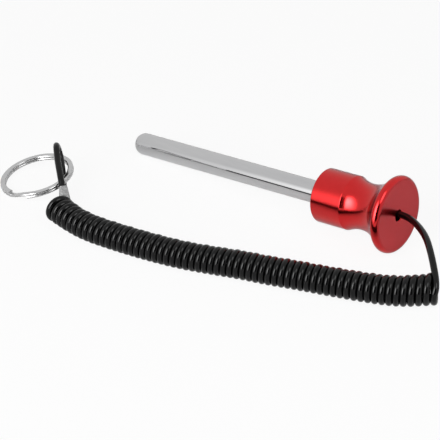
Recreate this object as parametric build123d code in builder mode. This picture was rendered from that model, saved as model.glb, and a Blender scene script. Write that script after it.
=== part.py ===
from build123d import *
import math
import os

# Weight stack pin: a chromed steel rod pressed into a turned aluminium knob, with a
# coiled cord that leaves the middle of the knob's face and ends in a crimped loop
# holding a split ring. The pin lies on its side as it comes to rest, on the rim of
# the flange and the tip of the rod. Millimetres. The origin is on the floor, under
# the middle of rod and knob, and the rod points along -X.

# Rod
rod_diameter = 9.5
rod_exposed = 100.0
rod_seat_diameter = 8.0
rod_seat = 14.0
rod_tip_round = 4.0
rod_seat_chamfer = 0.5

# Knob, measured along the pin from its rear shoulder
barrel_diameter = 23.0
waist_diameter = 19.6
waist_at = 21.2
waist_hollow_radius = 14.3
flange_diameter = 32.5
flare_round = 2.0
rim_flat = 0.2
face_round = 2.0
barrel_round = 0.6
crease_round = 0.5

# Cord, its hole in the knob's face, and the crimped stop that holds it inside
cord_diameter = 2.75
cord_hole_diameter = 4.9
cord_hole_chamfer = 0.3
stop_diameter = 6.4
stop_length = 7.0
stop_clearance = 0.3
stop_back_gap = 7.0
stop_round = 0.8

# Coil of the cord, closed up turn against turn, measured over the turns
coil_diameter = 11.6
coil_floor_gap = 0.02

# Crimped ferrule that holds both strands of the loop
ferrule_rear = (-59.8, -59.1, 3.6)
ferrule_mouth = (-65.7, -53.9, 5.6)
ferrule_rear_width = 4.1
ferrule_rear_height = 6.6
ferrule_mouth_width = 3.5
ferrule_mouth_height = 7.2
ferrule_corner = 0.9
ferrule_edge_round = 0.3

# Split ring: flat wire in two turns, with one jog from the lower to the upper turn
ring_outer_diameter = 32.0
ring_wire_width = 2.3
ring_wire_thickness = 1.12
ring_wire_round = 0.5
ring_turn_gap = 0.06
ring_jog_angle = 33.7
ring_jog_sections = 7
ring_jog_heading = -82.7
ring_tilt = 12.84
ring_uphill_heading = 43.45
ring_centre_x = -84.26
ring_centre_y = -49.27

# Routes of the cord, chosen by hand. The coil's route is the axis of its turns. The
# tail leaves the face near the top of its hole, where its own bend presses it.
tail_exit_ahead = 1.2
tail_exit_rise = 1.05
tail_bends = [
    (74.0, -0.8, 17.2),
    (79.8, -4.4, 17.8),
    (86.6, -9.7, 18.1),
    (92.4, -15.5, 17.0),
    (97.6, -21.0, 14.4),
    (101.7, -26.0, 10.2),
    (103.2, -28.3, 5.8),
]
coil_axis_xy = [
    (-59.5, -65.6),
    (-47.3, -69.3),
    (-33.8, -70.4),
    (-12.3, -67.6),
    (9.7, -62.7),
    (28.7, -55.2),
    (47.7, -49.2),
    (67.0, -43.4),
    (82.8, -37.3),
    (92.4, -31.5),
    (101.1, -24.3),
]
loop_points = [
    (-59.5, -66.1, 1.4),
    (-58.4, -62.6, 1.4),
    (-59.3, -59.3, 2.1),
    (-62.4, -56.8, 3.1),
    (-65.5, -53.8, 3.9),
    (-68.3, -50.7, 2.9),
    (-71.6, -46.8, 3.5),
    (-75.1, -42.9, 5.6),
    (-78.5, -39.8, 7.8),
    (-81.9, -37.4, 9.8),
    (-82.9, -36.9, 12.1),
    (-82.7, -37.5, 14.4),
    (-81.2, -39.2, 15.7),
    (-78.3, -42.3, 15.0),
    (-74.7, -46.0, 13.6),
    (-71.1, -49.6, 12.0),
    (-68.1, -52.3, 10.1),
    (-65.8, -54.0, 7.5),
    (-63.2, -56.2, 6.3),
    (-60.3, -58.6, 5.3),
]

rod_radius = rod_diameter / 2
seat_radius = rod_seat_diameter / 2
barrel_radius = barrel_diameter / 2
waist_radius = waist_diameter / 2
flange_radius = flange_diameter / 2
cord_radius = cord_diameter / 2
cord_hole_radius = cord_hole_diameter / 2
stop_radius = stop_diameter / 2
chamber_radius = stop_radius + stop_clearance
stop_rear = rod_seat + stop_back_gap
stop_front = stop_rear + stop_length
coil_radius = coil_diameter / 2
coil_axis_height = coil_radius + coil_floor_gap
ring_outer_radius = ring_outer_diameter / 2

# The waist is one arc about a centre outside the knob. It starts at the crease, where
# it leaves the barrel, and ends at the flange.
hollow_centre_radius = waist_radius + waist_hollow_radius
crease_at = waist_at - math.sqrt(waist_hollow_radius**2 - (hollow_centre_radius - barrel_radius) ** 2)
flare_end = waist_at + math.sqrt(waist_hollow_radius**2 - (hollow_centre_radius - flange_radius) ** 2)

# Tilt of the lying pin: one level line touches the round of the rod's tip and the
# round on the back of the flange's rim.
tip_arc_at = rod_tip_round - rod_exposed
tip_arc_radius = rod_radius - rod_tip_round
rim_arc_radius = flange_radius - flare_round
rim_arc_drop = hollow_centre_radius - rim_arc_radius
rim_arc_at = waist_at + math.sqrt((waist_hollow_radius + flare_round) ** 2 - rim_arc_drop**2)
knob_length = rim_arc_at + rim_flat + face_round
rest_run = rim_arc_at - tip_arc_at
rest_rise = rim_arc_radius - tip_arc_radius
rest_span = math.hypot(rest_run, rest_rise)
pin_tilt = math.atan2(rest_rise, rest_run) + math.asin((flare_round - rod_tip_round) / rest_span)
along_x = math.cos(pin_tilt)
along_z = math.sin(pin_tilt)

# The shoulder stands where rod and knob together are centred over the origin.
lowest_x = tip_arc_at * along_x - tip_arc_radius * along_z - rod_tip_round
highest_x = (knob_length - face_round) * along_x + (flange_radius - face_round) * along_z + face_round
shoulder_x = -(lowest_x + highest_x) / 2
shoulder_z = tip_arc_radius * along_x - tip_arc_at * along_z + rod_tip_round
shoulder = Vector(shoulder_x, 0, shoulder_z)
pin_direction = Vector(along_x, 0, along_z)
pin_upward = Vector(-along_z, 0, along_x)
pin_axis = Axis(shoulder, pin_direction)

# Profiles of the turned pieces: local X runs along the pin, local Y is the radius.
profile_plane = Plane(origin=shoulder, x_dir=pin_direction, z_dir=(0, -1, 0))


def on_pin(distance, rise=0.0):
    """Point at a distance from the knob's rear shoulder, and a rise above the pin's axis."""
    return shoulder + pin_direction * distance + pin_upward * rise


def corner(along, radius):
    """Corner of the current profile nearest to a place along the pin and a radius."""
    return vertices().sort_by_distance((along, radius))[0]


def bend_radii(points):
    """Arc for each corner of a route: as large as its shorter run allows."""
    radii = []
    for before, middle, after in zip(points, points[1:], points[2:]):
        run_in = middle - before
        run_out = after - middle
        half_turn = math.radians(run_in.get_angle(run_out)) / 2
        radii.append(0.45 * min(run_in.length, run_out.length) / math.tan(half_turn))
    return radii


def start_plane(points):
    """Plane across the start of a route."""
    return Plane(origin=points[0], z_dir=points[1] - points[0])


def report_tube(name, points, tube, path_length, diameter):
    """Print a tube's bend radii, and its volume over section times length."""
    radii = [round(radius, 1) for radius in bend_radii(points)]
    ratio = tube.volume / (math.pi * diameter**2 / 4 * path_length)
    print(name, "bend radii", radii)
    print(name, "length", round(path_length, 1), "volume over section x length", round(ratio, 4))


# Rod: turned bar with a blunt round tip. Its other end is turned down, pressed into
# the knob and stopped by the knob's rear face.
with BuildPart() as pin_rod:
    with BuildSketch(profile_plane):
        with BuildLine():
            Polyline(
                (-rod_exposed, 0),
                (-rod_exposed, rod_radius),
                (0, rod_radius),
                (0, seat_radius),
                (rod_seat, seat_radius),
                (rod_seat, 0),
                close=True,
            )
        make_face()
        fillet(corner(-rod_exposed, rod_radius), rod_tip_round)
        chamfer(corner(rod_seat, seat_radius), rod_seat_chamfer)
    revolve(axis=pin_axis)

# Knob: straight barrel, a crease, a hollow waist and a flange with a rounded rim.
# Behind the seat of the rod lies the chamber of the stop, then the cord's hole.
with BuildPart() as knob:
    with BuildSketch(profile_plane):
        with BuildLine():
            Polyline(
                (rod_seat, chamber_radius),
                (rod_seat, seat_radius),
                (0, seat_radius),
                (0, barrel_radius),
                (crease_at, barrel_radius),
            )
            ThreePointArc(
                (crease_at, barrel_radius),
                (waist_at, waist_radius),
                (flare_end, flange_radius),
            )
            Polyline(
                (flare_end, flange_radius),
                (knob_length, flange_radius),
                (knob_length, cord_hole_radius),
                (stop_front, cord_hole_radius),
                (stop_front, chamber_radius),
                (rod_seat, chamber_radius),
            )
        make_face()
        fillet(corner(0, barrel_radius), barrel_round)
        fillet(corner(crease_at, barrel_radius), crease_round)
        fillet(corner(flare_end, flange_radius), flare_round)
        fillet(corner(knob_length, flange_radius), face_round)
        chamfer(corner(knob_length, cord_hole_radius), cord_hole_chamfer)
    revolve(axis=pin_axis)

# Cord stop: a crimped sleeve on the cord's end, pulled against the chamber's front.
with BuildPart() as cord_stop:
    with BuildSketch(profile_plane):
        with BuildLine():
            Polyline(
                (stop_rear, 0),
                (stop_rear, stop_radius),
                (stop_front, stop_radius),
                (stop_front, 0),
                close=True,
            )
        make_face()
        fillet(corner(stop_rear, stop_radius), stop_round)
    revolve(axis=pin_axis)

# Tail of the cord: from the stop, out through the face and down to the coil's end.
tail_route = [on_pin(stop_front), on_pin(knob_length + tail_exit_ahead, tail_exit_rise)]
tail_route += [Vector(*point) for point in tail_bends]
with BuildPart() as cord_tail:
    with BuildLine() as tail_path:
        FilletPolyline(*tail_route, radius=bend_radii(tail_route))
    with BuildSketch(start_plane(tail_route)):
        Circle(cord_radius)
    sweep()

# Coil of the cord: its outer shape as one solid along the axis of the turns.
coil_route = [Vector(x, y, coil_axis_height) for x, y in coil_axis_xy]
with BuildPart() as cord_coil:
    with BuildLine() as coil_path:
        FilletPolyline(*coil_route, radius=bend_radii(coil_route))
    with BuildSketch(start_plane(coil_route)):
        Circle(coil_radius)
    sweep()

# Loop of the cord: from the last turn through the ferrule, through the ring and back.
loop_route = [Vector(*point) for point in loop_points]
with BuildPart() as cord_loop:
    with BuildLine() as loop_path:
        FilletPolyline(*loop_route, radius=bend_radii(loop_route))
    with BuildSketch(start_plane(loop_route)):
        Circle(cord_radius)
    sweep()

# Ferrule: a flattened sleeve, wider at the rear, pressed onto both strands.
ferrule_start = Vector(*ferrule_rear)
ferrule_end = Vector(*ferrule_mouth)
ferrule_run = ferrule_end - ferrule_start
ferrule_across = Vector(0, 0, 1).cross(ferrule_run)
rear_plane = Plane(origin=ferrule_start, x_dir=ferrule_across, z_dir=ferrule_run)
mouth_plane = Plane(origin=ferrule_end, x_dir=ferrule_across, z_dir=ferrule_run)
with BuildPart() as ferrule:
    with BuildSketch(rear_plane):
        RectangleRounded(ferrule_rear_width, ferrule_rear_height, ferrule_corner)
    with BuildSketch(mouth_plane):
        RectangleRounded(ferrule_mouth_width, ferrule_mouth_height, ferrule_corner)
    loft()
    ends = faces().filter_by(GeomType.PLANE).sort_by(Axis(ferrule_start, ferrule_run))
    fillet(ends[0].edges() + ends[-1].edges(), ferrule_edge_round)
    add(cord_loop.part, mode=Mode.SUBTRACT)

# Split ring: it leans on the floor with its low side and on the loop with its high
# side, so its centre is as high as its rounded lower edge allows at that tilt.
tilt = math.radians(ring_tilt)
uphill = math.radians(ring_uphill_heading)
turn_pitch = ring_wire_thickness + ring_turn_gap
edge_out = ring_outer_radius - ring_wire_round
edge_down = (turn_pitch + ring_wire_thickness) / 2 - ring_wire_round
ring_centre_z = edge_out * math.sin(tilt) + edge_down * math.cos(tilt) + ring_wire_round
ring_plane = Plane(
    origin=(ring_centre_x, ring_centre_y, ring_centre_z),
    x_dir=(-math.sin(uphill), math.cos(uphill), 0),
    z_dir=(
        -math.sin(tilt) * math.cos(uphill),
        -math.sin(tilt) * math.sin(uphill),
        math.cos(tilt),
    ),
)
ring_axis = Axis(ring_plane.origin, ring_plane.z_dir)
wire_middle_radius = ring_outer_radius - ring_wire_width / 2
jog_start = ring_jog_heading - ring_uphill_heading - 90 - ring_jog_angle / 2
ring_turn_angle = 360 - ring_jog_angle


def wire_plane(angle, height):
    """Plane across the ring's wire at an angle about its axis and a height along it."""
    turn = math.radians(angle)
    outward = ring_plane.x_dir * math.cos(turn) + ring_plane.y_dir * math.sin(turn)
    centre = ring_plane.origin + outward * wire_middle_radius + ring_plane.z_dir * height
    return Plane(origin=centre, x_dir=outward, z_dir=outward.cross(ring_plane.z_dir))


def wire_section():
    """Section of the flat wire, in the plane that the block gives."""
    RectangleRounded(ring_wire_width, ring_wire_thickness, ring_wire_round)


with BuildPart() as split_ring:
    # Lower turn, up to the start of the jog
    with BuildSketch(wire_plane(jog_start + ring_jog_angle, -turn_pitch / 2)):
        wire_section()
    revolve(axis=ring_axis, revolution_arc=ring_turn_angle)
    # Upper turn, on from the end of the jog
    with BuildSketch(wire_plane(jog_start + ring_jog_angle, turn_pitch / 2)):
        wire_section()
    revolve(axis=ring_axis, revolution_arc=ring_turn_angle)
    # Jog: the wire rises by one turn, level where it meets both turns
    for step in range(ring_jog_sections):
        share = step / (ring_jog_sections - 1)
        rise = -math.cos(math.pi * share) * turn_pitch / 2
        with BuildSketch(wire_plane(jog_start + share * ring_jog_angle, rise)):
            wire_section()
    loft()

os.makedirs("parts", exist_ok=True)
pin_rod.part.label = "pin_rod"
export_step(pin_rod.part, "parts/pin_rod.step")
knob.part.label = "knob"
export_step(knob.part, "parts/knob.step")
cord_stop.part.label = "cord_stop"
export_step(cord_stop.part, "parts/cord_stop.step")
cord_tail.part.label = "cord_tail"
export_step(cord_tail.part, "parts/cord_tail.step")
cord_coil.part.label = "cord_coil"
export_step(cord_coil.part, "parts/cord_coil.step")
cord_loop.part.label = "cord_loop"
export_step(cord_loop.part, "parts/cord_loop.step")
ferrule.part.label = "ferrule"
export_step(ferrule.part, "parts/ferrule.step")
split_ring.part.label = "split_ring"
export_step(split_ring.part, "parts/split_ring.step")

report_tube("tail", tail_route, cord_tail.part, tail_path.wire().length, cord_diameter)
report_tube("coil", coil_route, cord_coil.part, coil_path.wire().length, coil_diameter)
report_tube("loop", loop_route, cord_loop.part, loop_path.wire().length, cord_diameter)
print("pin tilt", round(math.degrees(pin_tilt), 3), "shoulder", round(shoulder_x, 3), round(shoulder_z, 3))
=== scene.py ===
import math

import bpy
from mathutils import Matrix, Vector


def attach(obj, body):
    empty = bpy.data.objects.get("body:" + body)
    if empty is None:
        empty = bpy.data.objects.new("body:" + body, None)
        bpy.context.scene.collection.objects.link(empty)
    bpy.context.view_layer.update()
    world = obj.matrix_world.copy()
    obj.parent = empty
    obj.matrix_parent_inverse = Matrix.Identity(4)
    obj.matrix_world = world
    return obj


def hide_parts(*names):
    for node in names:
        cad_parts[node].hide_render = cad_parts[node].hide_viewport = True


# Weight stack pin: looks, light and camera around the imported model, in metres

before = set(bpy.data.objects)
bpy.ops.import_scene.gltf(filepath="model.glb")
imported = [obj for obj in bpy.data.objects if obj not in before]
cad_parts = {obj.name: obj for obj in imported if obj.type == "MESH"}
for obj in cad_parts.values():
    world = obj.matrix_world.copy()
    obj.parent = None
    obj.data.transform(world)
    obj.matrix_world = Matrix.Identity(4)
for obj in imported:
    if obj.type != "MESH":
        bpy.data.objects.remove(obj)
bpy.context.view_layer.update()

# Photograph
image_side = 440
focal_px = 2444.7
sensor_width = 36.0
camera_azimuth = math.radians(37.236)
camera_elevation = math.radians(31.147)
camera_distance = 1.0
camera_target = Vector((0.0053, -0.03826, 0.010))
camera_clip_start = 0.01

# Pin, as in the part's source
shoulder = Vector((0.031094, 0.0, 0.013189))
pin_tilt = math.radians(5.045)
pin_direction = Vector((math.cos(pin_tilt), 0.0, math.sin(pin_tilt)))
knob_length = 0.036387
stop_front = 0.028
tail_exit_ahead = 0.0012
tail_exit_rise = 0.00105

# Cord
cord_diameter = 0.0028
cord_sides = 5
cord_smoothness = 3
route_smoothness = 24
spline_order = 3
coil_points_per_turn = 16
coil_inset_left = 0.00165
thickest_turn = 1.07
turn_size_spread = 0.00006
turn_size_wave = 2.4

# Bends of the cord between the knob and the coil
tail_bends = [
    (0.0740, -0.0008, 0.0172),
    (0.0798, -0.0044, 0.0178),
    (0.0866, -0.0097, 0.0181),
    (0.0924, -0.0155, 0.0170),
    (0.0977, -0.0210, 0.0145),
    (0.1016, -0.0251, 0.0116),
    (0.1036, -0.0280, 0.0093),
]
# The coil's axis from above and its outer diameter there; it lies on the floor
coil_places = [
    (-0.0599, -0.0656, 0.01250),
    (-0.0509, -0.0683, 0.01160),
    (-0.0390, -0.0702, 0.01160),
    (-0.0261, -0.0692, 0.01166),
    (-0.0102, -0.0671, 0.01176),
    (0.0055, -0.0639, 0.01176),
    (0.0188, -0.0593, 0.01183),
    (0.0291, -0.0554, 0.01195),
    (0.0397, -0.0525, 0.01203),
    (0.0500, -0.0487, 0.01203),
    (0.0614, -0.0451, 0.01198),
    (0.0747, -0.0406, 0.01211),
    (0.0841, -0.0370, 0.01225),
    (0.0904, -0.0338, 0.01255),
    (0.0960, -0.0294, 0.01295),
    (0.1014, -0.0240, 0.01330),
]
# Turns of the coil in each stretch and their spacing, from its left end
coil_stretches = [
    (1.0, 0.00340),
    (3.59, 0.00309),
    (7.0, 0.00281),
    (15.0, 0.00267),
    (3.0, 0.00260),
    (13.0, 0.00266),
    (6.0, 0.00271),
    (9.0, 0.00280),
    (3.66, 0.00302),
]
# How the turns stand: distance from the coil's left end, heading of the turn's near side
# in degrees (0 is the front, positive to the right), and how much its top leans to the left
turn_stands = [
    (0.000, -18.0, 0.010),
    (0.023, 1.0, 0.010),
    (0.041, 6.0, 0.000),
    (0.059, 9.0, 0.000),
    (0.076, 14.0, 0.005),
    (0.093, 16.5, 0.010),
    (0.110, 19.5, 0.025),
    (0.127, 19.5, 0.050),
    (0.144, 21.0, 0.090),
    (0.157, 24.0, 0.070),
    (0.172, 26.0, 0.120),
]
# From the coil's left end through the ferrule, round the ring and back into the ferrule
loop_points = [
    (-0.0586, -0.0626, 0.0015),
    (-0.0593, -0.0593, 0.0021),
    (-0.0624, -0.0568, 0.0031),
    (-0.0655, -0.0538, 0.0039),
    (-0.0683, -0.0507, 0.0029),
    (-0.0716, -0.0468, 0.0035),
    (-0.0751, -0.0429, 0.0056),
    (-0.0785, -0.0398, 0.0078),
    (-0.0804, -0.0379, 0.0091),
    (-0.0817, -0.0373, 0.0114),
    (-0.0820, -0.0379, 0.0141),
    (-0.0811, -0.0396, 0.0161),
    (-0.0793, -0.0417, 0.0167),
    (-0.0771, -0.0439, 0.0151),
    (-0.0749, -0.0462, 0.0136),
    (-0.0711, -0.0496, 0.0120),
    (-0.0681, -0.0523, 0.0101),
    (-0.0658, -0.0540, 0.0075),
    (-0.0632, -0.0562, 0.0063),
    (-0.0603, -0.0586, 0.0053),
]

# Looks: each pair holds the two ends that a noise blends, from noise_low to noise_high
noise_low = 0.3
noise_high = 0.7
noise_detail = 4.0
bump_distance = 0.0001

chrome_colours = ((0.60, 0.60, 0.61), (0.64, 0.64, 0.645))
chrome_roughness = (0.04, 0.07)
chrome_haze_scale = 260.0
chrome_haze_stretch = (0.15, 1, 1)

red_body_colours = ((0.68, 0.002, 0.004), (0.72, 0.004, 0.006))
red_face_colours = ((0.60, 0.014, 0.020), (0.63, 0.017, 0.023))
red_body_roughness = 0.17
red_face_roughness = 0.26
red_edge_tint = (0.50, 0.20, 0.30, 1)
red_coat_ior = 1.42
red_coat_roughness = 0.15
red_cloud_scale = 400.0
face_fade_start = 0.0004
face_fade_end = 0.0001

cord_colours = ((0.001, 0.001, 0.0011), (0.003, 0.003, 0.0032))
cord_roughness = (0.09, 0.14)
cord_specular = 0.28
cord_grain_scale = 900.0
cord_bump_strength = 0.05

sleeve_colours = ((0.30, 0.30, 0.30), (0.54, 0.54, 0.54))
sleeve_roughness = (0.45, 0.6)
sleeve_metallic = 0.6
sleeve_speckle_scale = 1500.0
sleeve_speckle_detail = 2.0
sleeve_speckle_low = 0.35
sleeve_speckle_high = 0.65
sleeve_bump_strength = 0.4

nickel_colours = ((0.58, 0.58, 0.585), (0.64, 0.64, 0.64))
nickel_roughness = (0.10, 0.18)
nickel_haze_scale = 700.0

# Studio: headings in degrees from the front, positive to the right
floor_size = (6.0, 6.0)
floor_colour = (0.9, 0.9, 0.9, 1)
floor_white_share = 0.92
mirrored_white_share = 0.16
world_light = 0.18
world_seen = 0.75
knob_centre = Vector((0.050, 0.0, 0.020))
softbox_heading = -25
softbox_distance = 0.80
softbox_size = (0.89, 1.14)
softbox_strength = 10.5
glow_centre = (0.82, 0.42)
glow_reach = (0.86, 1.05)
glow_falloff = 2.5
top_lamp_heading = 72
top_lamp_elevation = 52
top_lamp_distance = 0.6
top_lamp_radius = 0.16
top_lamp_strength = 3.0
card_centre = (0.62, -0.87, 0.45)
card_size = (1.2, 1.1)
card_colour = (0.03, 0.03, 0.03, 1)


# Camera


def make_camera():
    """Camera at the photograph's angle."""
    camera_data = bpy.data.cameras.new("camera")
    camera_data.sensor_width = sensor_width
    camera_data.lens = focal_px / image_side * sensor_width
    camera_data.clip_start = camera_clip_start
    camera = bpy.data.objects.new("camera", camera_data)
    back = Vector((
        math.sin(camera_azimuth) * math.cos(camera_elevation),
        -math.cos(camera_azimuth) * math.cos(camera_elevation),
        math.sin(camera_elevation),
    ))
    camera.location = camera_target + back * camera_distance
    camera.rotation_euler = (-back).to_track_quat("-Z", "Y").to_euler()
    bpy.context.collection.objects.link(camera)
    bpy.context.scene.camera = camera


# Materials


def new_material(name):
    """Material with an empty node tree and one Principled shader; returns both."""
    material = bpy.data.materials.new(name)
    material.use_nodes = True
    nodes = material.node_tree.nodes
    nodes.clear()
    output = nodes.new("ShaderNodeOutputMaterial")
    shader = nodes.new("ShaderNodeBsdfPrincipled")
    material.node_tree.links.new(shader.outputs["BSDF"], output.inputs["Surface"])
    return material, shader


def object_noise(material, scale, detail=noise_detail, stretch=(1, 1, 1)):
    """Noise over the object's own coordinates; returns the texture's node."""
    tree = material.node_tree
    coordinates = tree.nodes.new("ShaderNodeTexCoord")
    mapping = tree.nodes.new("ShaderNodeMapping")
    mapping.inputs["Scale"].default_value = stretch
    noise = tree.nodes.new("ShaderNodeTexNoise")
    noise.inputs["Scale"].default_value = scale
    noise.inputs["Detail"].default_value = detail
    tree.links.new(coordinates.outputs["Object"], mapping.inputs["Vector"])
    tree.links.new(mapping.outputs["Vector"], noise.inputs["Vector"])
    return noise


def blend_colours(material, noise, colours, low=noise_low, high=noise_high):
    """Colour that a noise spreads between two colours; returns its socket."""
    node = material.node_tree.nodes.new("ShaderNodeValToRGB")
    for element, place, colour in zip(node.color_ramp.elements, (low, high), colours):
        element.position = place
        element.color = (*colour, 1.0)
    material.node_tree.links.new(noise.outputs["Fac"], node.inputs["Fac"])
    return node.outputs["Color"]


def vary(material, shader, socket, noise, values):
    """Drive a shader's number between two values by a noise."""
    node = material.node_tree.nodes.new("ShaderNodeMapRange")
    node.inputs["From Min"].default_value = noise_low
    node.inputs["From Max"].default_value = noise_high
    node.inputs["To Min"].default_value = values[0]
    node.inputs["To Max"].default_value = values[1]
    material.node_tree.links.new(noise.outputs["Fac"], node.inputs["Value"])
    material.node_tree.links.new(node.outputs["Result"], shader.inputs[socket])


def bump(material, shader, noise, strength):
    """Bump whose height is a noise."""
    node = material.node_tree.nodes.new("ShaderNodeBump")
    node.inputs["Strength"].default_value = strength
    node.inputs["Distance"].default_value = bump_distance
    material.node_tree.links.new(noise.outputs["Fac"], node.inputs["Height"])
    material.node_tree.links.new(node.outputs["Normal"], shader.inputs["Normal"])


def chrome_plate():
    """Bright plate with a barely visible haze that runs along the rod."""
    material, shader = new_material("chrome_plate")
    shader.inputs["Metallic"].default_value = 1.0
    haze = object_noise(material, chrome_haze_scale, stretch=chrome_haze_stretch)
    colour = blend_colours(material, haze, chrome_colours)
    material.node_tree.links.new(colour, shader.inputs["Base Color"])
    vary(material, shader, "Roughness", haze, chrome_roughness)
    return material


def face_mask(material):
    """1 on the knob's flat outer face and 0 on its turned sides."""
    tree = material.node_tree
    coordinates = tree.nodes.new("ShaderNodeTexCoord")
    along = tree.nodes.new("ShaderNodeVectorMath")
    along.operation = "DOT_PRODUCT"
    along.inputs[1].default_value = pin_direction
    tree.links.new(coordinates.outputs["Object"], along.inputs[0])
    mask = tree.nodes.new("ShaderNodeMapRange")
    face_place = shoulder.dot(pin_direction) + knob_length
    mask.inputs["From Min"].default_value = face_place - face_fade_start
    mask.inputs["From Max"].default_value = face_place - face_fade_end
    tree.links.new(along.outputs["Value"], mask.inputs["Value"])
    return mask.outputs["Result"]


def red_anodised():
    """Dyed and polished aluminium; the turned face is duller than the rest."""
    material, shader = new_material("red_anodised")
    links = material.node_tree.links
    shader.inputs["Metallic"].default_value = 1.0
    shader.inputs["Specular Tint"].default_value = red_edge_tint
    shader.inputs["Coat Weight"].default_value = 1.0
    shader.inputs["Coat IOR"].default_value = red_coat_ior
    shader.inputs["Coat Roughness"].default_value = red_coat_roughness
    cloud = object_noise(material, red_cloud_scale)
    face = face_mask(material)
    blend = material.node_tree.nodes.new("ShaderNodeMix")
    blend.data_type = "RGBA"
    links.new(face, blend.inputs["Factor"])
    links.new(blend_colours(material, cloud, red_body_colours), blend.inputs["A"])
    links.new(blend_colours(material, cloud, red_face_colours), blend.inputs["B"])
    links.new(blend.outputs["Result"], shader.inputs["Base Color"])
    roughness = material.node_tree.nodes.new("ShaderNodeMapRange")
    roughness.inputs["To Min"].default_value = red_body_roughness
    roughness.inputs["To Max"].default_value = red_face_roughness
    links.new(face, roughness.inputs["Value"])
    links.new(roughness.outputs["Result"], shader.inputs["Roughness"])
    return material


def black_cord():
    """Smooth black sheath with a soft gloss."""
    material, shader = new_material("black_cord")
    shader.inputs["Specular IOR Level"].default_value = cord_specular
    grain = object_noise(material, cord_grain_scale)
    colour = blend_colours(material, grain, cord_colours)
    material.node_tree.links.new(colour, shader.inputs["Base Color"])
    vary(material, shader, "Roughness", grain, cord_roughness)
    bump(material, shader, grain, cord_bump_strength)
    return material


def pressed_sleeve():
    """Dull light grey metal with fine speckle."""
    material, shader = new_material("pressed_sleeve")
    shader.inputs["Metallic"].default_value = sleeve_metallic
    speckle = object_noise(material, sleeve_speckle_scale, detail=sleeve_speckle_detail)
    colour = blend_colours(material, speckle, sleeve_colours, sleeve_speckle_low, sleeve_speckle_high)
    material.node_tree.links.new(colour, shader.inputs["Base Color"])
    vary(material, shader, "Roughness", speckle, sleeve_roughness)
    bump(material, shader, speckle, sleeve_bump_strength)
    return material


def nickel_wire():
    """Bright plated spring wire."""
    material, shader = new_material("nickel_wire")
    shader.inputs["Metallic"].default_value = 1.0
    haze = object_noise(material, nickel_haze_scale)
    colour = blend_colours(material, haze, nickel_colours)
    material.node_tree.links.new(colour, shader.inputs["Base Color"])
    vary(material, shader, "Roughness", haze, nickel_roughness)
    return material


def dress(node, material):
    """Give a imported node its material."""
    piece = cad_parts[node]
    piece.data.materials.clear()
    piece.data.materials.append(material)


# Cord


def on_pin(distance, rise=0.0):
    """Point at a distance from the knob's rear shoulder, and a rise above the pin's axis."""
    upward = Vector((-pin_direction.z, 0.0, pin_direction.x))
    return shoulder + pin_direction * distance + upward * rise


def add_spline(curve, points, thicknesses=None):
    """Open NURBS spline through its end points."""
    spline = curve.splines.new("NURBS")
    spline.points.add(len(points) - 1)
    for point, place in zip(spline.points, points):
        point.co = (*place, 1.0)
    for point, thickness in zip(spline.points, thicknesses or []):
        point.radius = thickness
    spline.order_u = spline_order
    spline.use_endpoint_u = True
    spline.resolution_u = cord_smoothness
    return spline


def read_line(points):
    """Points along the NURBS of a route, read from a curve with no bevel."""
    curve = bpy.data.curves.new("route", "CURVE")
    curve.dimensions = "3D"
    spline = add_spline(curve, points)
    spline.resolution_u = route_smoothness
    carrier = bpy.data.objects.new("route", curve)
    mesh = bpy.data.meshes.new_from_object(carrier)
    line = [vertex.co.copy() for vertex in mesh.vertices]
    bpy.data.objects.remove(carrier)
    bpy.data.curves.remove(curve)
    bpy.data.meshes.remove(mesh)
    return line


def place_along(line, distance):
    """Point and direction at a distance along a line of points."""
    for start, end in zip(line, line[1:]):
        step = (end - start).length
        if distance <= step or end is line[-1]:
            return start + (end - start) * (distance / step), (end - start).normalized()
        distance -= step


def distance_of_turn(turn):
    """Distance along the coil's axis of a turn counted from the left end."""
    distance = coil_inset_left
    for count, spacing in coil_stretches:
        distance += min(turn, count) * spacing
        turn = max(turn - count, 0.0)
    return distance


def turn_stand(distance):
    """Heading in radians and lean of the turn at a distance along the coil's axis."""
    for start, end in zip(turn_stands, turn_stands[1:]):
        if distance <= end[0] or end is turn_stands[-1]:
            share = (distance - start[0]) / (end[0] - start[0])
            heading = start[1] + (end[1] - start[1]) * share
            return math.radians(heading), start[2] + (end[2] - start[2]) * share


def turn_thickness(turn):
    """Share of the cord's diameter at which the turn touches its neighbours and doesn't cut them."""
    after = min(turn + 0.5, sum(count for count, spacing in coil_stretches))
    spacing = distance_of_turn(after) - distance_of_turn(after - 1.0)
    return min(spacing / cord_diameter, thickest_turn)


def coil_turn_points():
    """Centre line of the coil from the tail to the last turn's bottom, and its thickness there."""
    axis = read_line([(x, y, diameter / 2) for x, y, diameter in coil_places])
    turns = sum(count for count, spacing in coil_stretches)
    count = round(turns * coil_points_per_turn)
    # The spline runs inside its points, so they stand a little wider than the turn
    wider = 1 / math.cos(math.pi / coil_points_per_turn)
    points, thicknesses = [], []
    for index in range(count + 1):
        turn = turns * index / count
        distance = distance_of_turn(turns - turn)
        centre, direction = place_along(axis, distance)
        thickness = turn_thickness(turns - turn)
        growth = turn_size_spread * math.sin(turn_size_wave * turn)
        turn_radius = (centre.z - cord_diameter * thickness / 2 + growth) * wider
        centre.z += growth
        heading, lean = turn_stand(distance)
        near_side = Vector((math.sin(heading), -math.cos(heading), 0.0))
        angle = turn * 2 * math.pi
        outward = near_side * math.cos(angle) - Vector((0, 0, 1)) * math.sin(angle)
        shift = direction * (lean * outward.z * turn_radius)
        points.append(centre + outward * turn_radius - shift)
        thicknesses.append(thickness)
    points[-1].z = cord_diameter / 2
    return points, thicknesses


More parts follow.
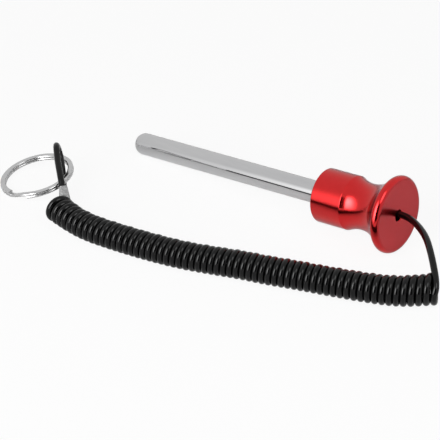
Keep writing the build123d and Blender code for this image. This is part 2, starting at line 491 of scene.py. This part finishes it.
def make_cord():
    """The whole cord as one curve: tail, coil, lead and loop."""
    route = [on_pin(stop_front), on_pin(knob_length + tail_exit_ahead, tail_exit_rise)]
    route += [Vector(place) for place in tail_bends]
    coil_points, coil_thicknesses = coil_turn_points()
    thicknesses = [1.0] * len(route) + coil_thicknesses + [1.0] * len(loop_points)
    route += coil_points + [Vector(place) for place in loop_points]
    curve = bpy.data.curves.new("cord", "CURVE")
    curve.dimensions = "3D"
    curve.bevel_depth = cord_diameter / 2
    curve.bevel_resolution = cord_sides
    curve.use_fill_caps = True
    add_spline(curve, route, thicknesses)
    curve.materials.append(black_cord())
    piece = bpy.data.objects.new("cord", curve)
    bpy.context.collection.objects.link(piece)
    return piece


# Studio


def by_ray(tree, unseen, camera, mirrored):
    """Number with one value for light, one for the camera's view and one for reflections and glass."""
    path = tree.nodes.new("ShaderNodeLightPath")
    rays = [("Is Camera Ray", camera), ("Is Glossy Ray", mirrored), ("Is Transmission Ray", mirrored)]
    total = None
    for ray, value in rays:
        part = tree.nodes.new("ShaderNodeMath")
        part.operation = "MULTIPLY_ADD"
        part.inputs[1].default_value = value - unseen
        part.inputs[2].default_value = unseen
        tree.links.new(path.outputs[ray], part.inputs[0])
        if total:
            tree.links.new(total, part.inputs[2])
        total = part.outputs["Value"]
    return total


def stage_plane(name, centre, aim, size):
    """Rectangle of the studio that faces a place; returns its object and material's tree."""
    half_width, half_height = size[0] / 2, size[1] / 2
    mesh = bpy.data.meshes.new(name)
    corners = [(-half_width, -half_height, 0), (half_width, -half_height, 0)]
    corners += [(half_width, half_height, 0), (-half_width, half_height, 0)]
    mesh.from_pydata(corners, [], [(0, 1, 2, 3)])
    plane = bpy.data.objects.new(name, mesh)
    plane.location = centre
    plane.rotation_euler = (Vector(centre) - Vector(aim)).to_track_quat("-Z", "Y").to_euler()
    bpy.context.collection.objects.link(plane)
    material = bpy.data.materials.new(name)
    material.use_nodes = True
    material.node_tree.nodes.clear()
    mesh.materials.append(material)
    return plane, material.node_tree


def finish_shader(tree, socket):
    """Send a shader to the material's output."""
    output = tree.nodes.new("ShaderNodeOutputMaterial")
    tree.links.new(socket, output.inputs["Surface"])


def make_floor():
    """Large plain white floor that keeps a faint shadow."""
    floor, tree = stage_plane("floor", (0, 0, 0), (0, 0, -1), floor_size)
    diffuse = tree.nodes.new("ShaderNodeBsdfDiffuse")
    diffuse.inputs["Color"].default_value = floor_colour
    white = tree.nodes.new("ShaderNodeEmission")
    white.inputs["Strength"].default_value = 1.0
    mix = tree.nodes.new("ShaderNodeMixShader")
    white_share = by_ray(tree, 0.0, floor_white_share, mirrored_white_share)
    tree.links.new(white_share, mix.inputs["Fac"])
    tree.links.new(diffuse.outputs["BSDF"], mix.inputs[1])
    tree.links.new(white.outputs["Emission"], mix.inputs[2])
    finish_shader(tree, mix.outputs["Shader"])


def make_world():
    """Even pale studio."""
    world = bpy.data.worlds.new("studio")
    bpy.context.scene.world = world
    world.use_nodes = True
    background = world.node_tree.nodes["Background"]
    background.inputs["Color"].default_value = (1, 1, 1, 1)
    strength = by_ray(world.node_tree, world_light, world_seen, world_seen)
    world.node_tree.links.new(strength, background.inputs["Strength"])


def studio_direction(heading, elevation):
    """Unit vector towards a place in the studio; heading 0 is the front, positive to the right."""
    turn, rise = math.radians(heading), math.radians(elevation)
    return Vector((math.sin(turn) * math.cos(rise), -math.cos(turn) * math.cos(rise), math.sin(rise)))


def place_lamp(lamp_data, place, towards):
    """Put a lamp at a place, with its light against a direction and itself out of view."""
    lamp = bpy.data.objects.new(lamp_data.name, lamp_data)
    lamp.location = place
    lamp.rotation_euler = (-towards).to_track_quat("-Z", "Y").to_euler()
    lamp.visible_camera = False
    bpy.context.collection.objects.link(lamp)


def make_softbox():
    """Tall softbox that stands on the floor at the left front and glows around one place."""
    width, height = softbox_size
    lamp_data = bpy.data.lights.new("softbox", "AREA")
    lamp_data.shape = "RECTANGLE"
    lamp_data.size = width
    lamp_data.size_y = height
    # At pi watts a square metre a lamp's strength is 1
    lamp_data.energy = math.pi * width * height
    lamp_data.use_nodes = True
    tree = lamp_data.node_tree
    place = tree.nodes.new("ShaderNodeNewGeometry")
    mapping = tree.nodes.new("ShaderNodeMapping")
    mapping.inputs["Location"].default_value = (
        -glow_centre[0] / glow_reach[0],
        -glow_centre[1] / glow_reach[1],
        0,
    )
    mapping.inputs["Scale"].default_value = (1 / glow_reach[0], 1 / glow_reach[1], 0)
    glow = tree.nodes.new("ShaderNodeTexGradient")
    glow.gradient_type = "SPHERICAL"
    fade = tree.nodes.new("ShaderNodeMapRange")
    fade.interpolation_type = "SMOOTHSTEP"
    level = tree.nodes.new("ShaderNodeMath")
    level.operation = "POWER"
    level.inputs[1].default_value = glow_falloff
    strength = tree.nodes.new("ShaderNodeMath")
    strength.operation = "MULTIPLY"
    strength.inputs[1].default_value = softbox_strength
    tree.links.new(place.outputs["Parametric"], mapping.inputs["Vector"])
    tree.links.new(mapping.outputs["Vector"], glow.inputs["Vector"])
    tree.links.new(glow.outputs["Fac"], fade.inputs["Value"])
    tree.links.new(fade.outputs["Result"], level.inputs[0])
    tree.links.new(level.outputs["Value"], strength.inputs[0])
    tree.links.new(strength.outputs["Value"], tree.nodes["Emission"].inputs["Strength"])
    towards = studio_direction(softbox_heading, 0)
    foot = (knob_centre + towards * softbox_distance).xy
    place_lamp(lamp_data, (*foot, height / 2), towards)


def make_top_lamp():
    """Small round lamp high at the right."""
    lamp_data = bpy.data.lights.new("top_lamp", "AREA")
    lamp_data.shape = "DISK"
    lamp_data.size = top_lamp_radius * 2
    area = math.pi * top_lamp_radius ** 2
    lamp_data.energy = math.pi * area * top_lamp_strength
    towards = studio_direction(top_lamp_heading, top_lamp_elevation)
    place_lamp(lamp_data, knob_centre + towards * top_lamp_distance, towards)


def make_dark_card():
    """Dark card behind the camera, which only reflections show."""
    card, tree = stage_plane("dark_card", card_centre, (0, 0, card_centre[2]), card_size)
    paint = tree.nodes.new("ShaderNodeBsdfDiffuse")
    paint.inputs["Color"].default_value = card_colour
    finish_shader(tree, paint.outputs["BSDF"])
    card.visible_camera = False
    card.visible_diffuse = False
    card.visible_shadow = False


make_camera()

cord = make_cord()
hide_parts("cord_tail", "cord_coil", "cord_loop")
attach(cord, "pin_and_cord")

dress("pin_rod", chrome_plate())
dress("knob", red_anodised())
dress("cord_stop", pressed_sleeve())
dress("ferrule", pressed_sleeve())
dress("split_ring", nickel_wire())

make_floor()
make_world()
make_softbox()
make_top_lamp()
make_dark_card()
bpy.context.scene.view_settings.view_transform = "Standard"
